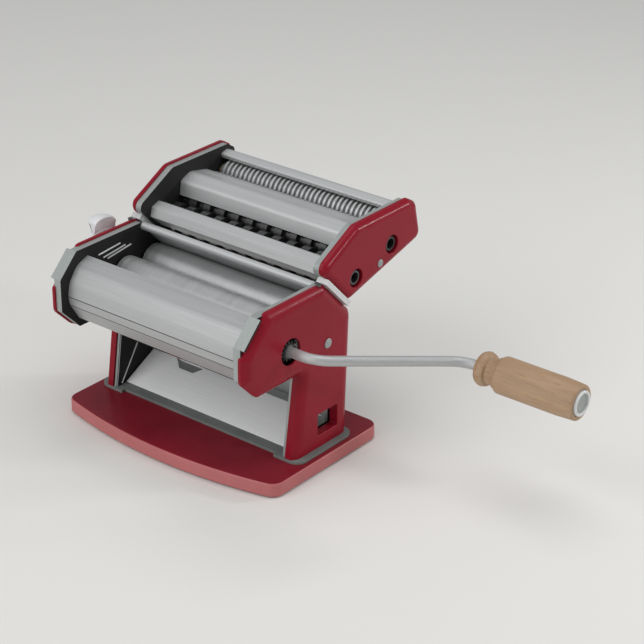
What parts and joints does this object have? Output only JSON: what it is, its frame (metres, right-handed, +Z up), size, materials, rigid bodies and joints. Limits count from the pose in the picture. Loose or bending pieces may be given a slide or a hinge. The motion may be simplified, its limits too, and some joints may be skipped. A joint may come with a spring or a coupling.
{
  "type": "pasta roller machine",
  "caption": "Hand-cranked pasta roller with smooth rollers, a thickness dial, and a lift-off head holding a wide and a narrow pasta cutter.",
  "frame": {"origin": "on the table surface that the rubber feet stand on, under the middle of the legs", "axes": "+X along the rollers towards the crank, +Y to the back, where the cutter head is, +Z up"},
  "size_m": [0.3656, 0.1841, 0.1612],
  "materials": {
    "red_enamel": "glossy",
    "base_enamel": "glossy",
    "sheet_steel": "brushed",
    "frame_steel": "satin",
    "polished_steel": "polished",
    "dark_steel": "satin",
    "gear_steel": "machined",
    "bearing_brass": "machined",
    "grip_wood": "oiled",
    "gasket_grey": "matte",
    "dial_metal": "satin",
    "foot_rubber": "matte"
  },
  "bodies": {
    "frame": {"base_plate": "base_enamel", "rubber_feet": "foot_rubber", "foot_gasket": "gasket_grey", "left_side_frame": "frame_steel", "right_side_frame": "frame_steel", "left_cover": "red_enamel", "right_cover": "red_enamel", "front_guard": "sheet_steel", "rear_guard": "sheet_steel", "outfeed_tray": "sheet_steel", "tie_rods": "dark_steel", "left_rail": "frame_steel", "right_rail": "frame_steel", "rail_screws": "dark_steel", "cover_rivets": "frame_steel", "front_bushes": "bearing_brass", "drive_bushes": "bearing_brass", "front_scraper": "sheet_steel", "rear_scraper": "sheet_steel", "dial_plate": "sheet_steel", "link_stud": "dark_steel"},
    "drive": {"drive_shaft": "dark_steel", "drive_pinion": "gear_steel", "drive_circlip": "dark_steel"},
    "crank": {"crank_rod": "polished_steel", "crank_rivet": "dark_steel"},
    "grip": {"grip": "grip_wood", "grip_end_cap": "frame_steel"},
    "front_roller": {"front_roller": "polished_steel", "front_drive_gear": "gear_steel", "front_spur_gear": "bearing_brass"},
    "carriage": {"rear_blocks": "bearing_brass", "link_plate": "gear_steel"},
    "rear_roller": {"rear_roller": "polished_steel", "rear_spur_gear": "bearing_brass"},
    "dial": {"dial_spindle": "dark_steel", "dial_knob": "dial_metal", "dial_screw": "dark_steel"},
    "cutter_head": {"cutter_left_frame": "frame_steel", "cutter_right_frame": "frame_steel", "cutter_left_cover": "red_enamel", "cutter_right_cover": "red_enamel", "cutter_front_cover": "sheet_steel", "cutter_middle_cover": "sheet_steel", "cutter_back_cover": "sheet_steel", "wide_comb": "dark_steel", "narrow_comb": "dark_steel", "cutter_bushes": "bearing_brass", "cutter_tie_rods": "dark_steel", "cutter_rivets": "frame_steel", "rail_shoes": "frame_steel"},
    "wide_driven": {"wide_driven_cutter": "polished_steel", "wide_driven_gear": "bearing_brass"},
    "wide_idle": {"wide_idle_cutter": "polished_steel", "wide_idle_gear": "bearing_brass"},
    "narrow_driven": {"narrow_driven_cutter": "polished_steel", "narrow_driven_gear": "bearing_brass"},
    "narrow_idle": {"narrow_idle_cutter": "polished_steel", "narrow_idle_gear": "bearing_brass"}
  },
  "joints": [
    {"name": "crank_turn", "type": "hinge", "parent": "frame", "child": "drive", "pos_m": [0, -0.03307, 0.0959], "axis": [1, 0, 0], "continuous": true},
    {"name": "crank_pull", "type": "slide", "parent": "drive", "child": "crank", "axis": [1, 0, 0], "range_m": [0, 0.03]},
    {"name": "grip_spin", "type": "hinge", "parent": "crank", "child": "grip", "pos_m": [0.2, 0.04704, 0.08393], "axis": [1, 0, 0], "continuous": true},
    {"name": "front_roller_turn", "type": "hinge", "parent": "frame", "child": "front_roller", "pos_m": [0, -0.0156, 0.097], "axis": [1, 0, 0], "continuous": true},
    {"name": "dial_turn", "type": "hinge", "parent": "frame", "child": "dial", "pos_m": [-0.095, -0.0156, 0.097], "axis": [-1, 0, 0], "range_deg": [0, 200]},
    {"name": "gap_slide", "type": "slide", "parent": "frame", "child": "carriage", "axis": [0, -1, 0], "range_m": [0, 0.0016]},
    {"name": "rear_roller_turn", "type": "hinge", "parent": "carriage", "child": "rear_roller", "pos_m": [0, 0.0122, 0.097], "axis": [1, 0, 0], "continuous": true},
    {"name": "head_lift", "type": "slide", "parent": "frame", "child": "cutter_head", "axis": [0, -0.6947, 0.7193], "range_m": [0, 0.06]},
    {"name": "wide_drive_turn", "type": "hinge", "parent": "cutter_head", "child": "wide_driven", "pos_m": [0, 0.0341, 0.1241], "axis": [1, 0, 0], "continuous": true},
    {"name": "wide_idle_turn", "type": "hinge", "parent": "cutter_head", "child": "wide_idle", "pos_m": [0, 0.0509, 0.12901], "axis": [1, 0, 0], "continuous": true},
    {"name": "narrow_drive_turn", "type": "hinge", "parent": "cutter_head", "child": "narrow_driven", "pos_m": [0, 0.07249, 0.13533], "axis": [1, 0, 0], "continuous": true},
    {"name": "narrow_idle_turn", "type": "hinge", "parent": "cutter_head", "child": "narrow_idle", "pos_m": [0, 0.08929, 0.14024], "axis": [1, 0, 0], "continuous": true}
  ],
  "couplings": [
    {"joint": "front_roller_turn", "follows": "crank_turn", "ratio": -0.59091},
    {"joint": "rear_roller_turn", "follows": "crank_turn", "ratio": 0.59091},
    {"joint": "dial_turn", "follows": "gap_slide", "rad_per_m": 2181.7},
    {"joint": "wide_idle_turn", "follows": "wide_drive_turn", "ratio": -1},
    {"joint": "narrow_idle_turn", "follows": "narrow_drive_turn", "ratio": -1}
  ]
}
